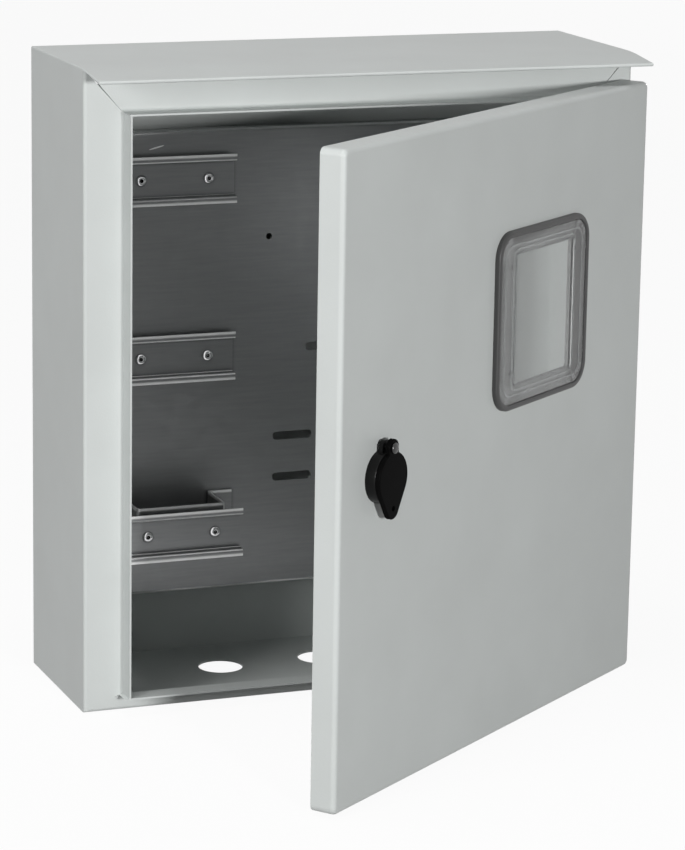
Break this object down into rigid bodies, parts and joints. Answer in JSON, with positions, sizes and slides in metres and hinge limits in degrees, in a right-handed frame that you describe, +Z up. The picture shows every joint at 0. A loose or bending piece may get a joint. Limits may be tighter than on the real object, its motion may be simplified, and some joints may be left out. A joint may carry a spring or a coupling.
{
  "type": "electrical enclosure",
  "caption": "Wall-mounted sheet-steel electrical enclosure with a drip hood, a hinged door with a clear window and a quarter-turn lock, device rails on a mounting plate, and gland holes.",
  "frame": {"origin": "centre of the four wall holes, on the outer face of the back", "axes": "+Z up, +Y into the wall so that the front faces -Y, +X to the right as seen from the front; modelled with the door open by 37.1 degrees"},
  "size_m": [0.404, 0.3821, 0.445],
  "materials": {
    "grey_paint": "satin, fine powder-coat texture",
    "galvanised_steel": "dull galvanised sheet",
    "zinc_plated_steel": "bright zinc plate",
    "rivet_aluminium": "satin",
    "black_foam": "matt foam",
    "dark_grey_plastic": "satin moulded",
    "clear_plastic": "clear, glossy",
    "black_lock_finish": "satin black over metal",
    "black_plastic": "satin moulded"
  },
  "bodies": {
    "cabinet": {"cabinet_shell": "grey_paint", "bottom_panel": "grey_paint", "back_panel": "grey_paint", "mounting_plate": "galvanised_steel", "plate_studs": "zinc_plated_steel", "plate_standoffs": "zinc_plated_steel", "plate_washers": "zinc_plated_steel", "plate_nuts": "zinc_plated_steel", "earth_stud": "zinc_plated_steel", "earth_washer": "zinc_plated_steel", "earth_nut": "zinc_plated_steel", "rail_top": "galvanised_steel", "rail_middle": "galvanised_steel", "rail_lower": "galvanised_steel", "rail_bracket": "galvanised_steel", "rail_rivets": "rivet_aluminium", "hinge_leaf_lower": "zinc_plated_steel", "hinge_leaf_upper": "zinc_plated_steel", "hinge_pin_lower": "zinc_plated_steel", "hinge_pin_upper": "zinc_plated_steel"},
    "door": {"door_panel": "grey_paint", "door_gasket": "black_foam", "door_leaf_lower": "zinc_plated_steel", "door_leaf_upper": "zinc_plated_steel", "window_frame": "dark_grey_plastic", "window_pane": "clear_plastic", "window_retainer": "dark_grey_plastic", "lock_housing": "black_lock_finish", "lock_nut": "zinc_plated_steel", "cap_rivet": "black_lock_finish"},
    "lock_cam": {"lock_core": "zinc_plated_steel", "lock_cam": "zinc_plated_steel", "cam_screw": "zinc_plated_steel"},
    "dust_cap": {"dust_cap": "black_plastic"}
  },
  "joints": [
    {"name": "door_hinge", "type": "hinge", "parent": "cabinet", "child": "door", "pos_m": [0.191, -0.138, -0.0085], "axis": [0, 0, 1], "range_deg": [-37.1, 72.9]},
    {"name": "lock_turn", "type": "hinge", "parent": "door", "child": "lock_cam", "pos_m": [-0.093, -0.3336, -0.0085], "axis": [-0.6032, 0.7976, 0], "range_deg": [0, 90]},
    {"name": "cap_swing", "type": "hinge", "parent": "door", "child": "dust_cap", "pos_m": [-0.07182, -0.3616, 0.0111], "axis": [0.6032, -0.7976, 0], "range_deg": [-110, 110]}
  ]
}
